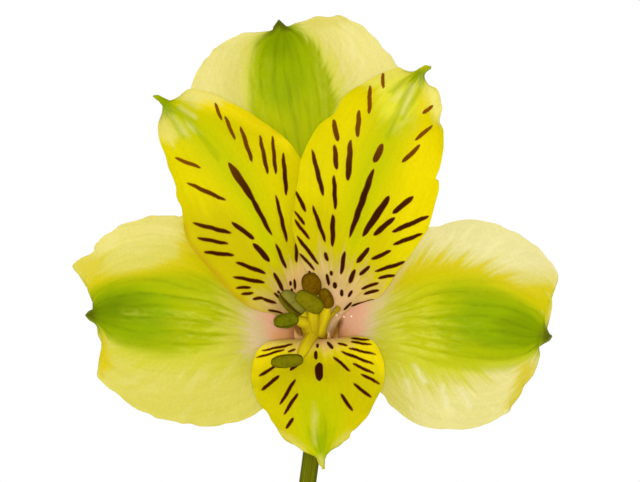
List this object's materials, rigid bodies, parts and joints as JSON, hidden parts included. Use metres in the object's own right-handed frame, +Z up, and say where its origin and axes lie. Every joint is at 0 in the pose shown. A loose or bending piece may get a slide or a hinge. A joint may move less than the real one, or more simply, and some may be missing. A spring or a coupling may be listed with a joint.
{
  "type": "alstroemeria in a bottle",
  "caption": "Open yellow-green alstroemeria bloom with dark streaks, on a cut stem that leans in a small clear glass bottle of water.",
  "frame": {"origin": "middle of the bottle's flat foot, on the surface that it stands on", "axes": "+Z up along the bottle's axis, -Y the way the bloom faces, +X to the right as seen from its front"},
  "size_m": [0.0726, 0.0529, 0.1619],
  "materials": {
    "glass": "polished",
    "water": "polished",
    "stem": "satin",
    "outer_petal": "satin",
    "inner_petal": "satin",
    "anther": "matte",
    "style": "satin"
  },
  "bodies": {
    "root": {"bottle": "glass", "water": "water", "stem": "stem", "outer_top": "outer_petal", "outer_left": "outer_petal", "outer_right": "outer_petal", "inner_left": "inner_petal", "inner_right": "inner_petal", "inner_bottom": "inner_petal", "stamen_1": "anther", "stamen_2": "anther", "stamen_3": "anther", "stamen_4": "anther", "stamen_5": "anther", "stamen_6": "anther", "style": "style"}
  },
  "joints": []
}
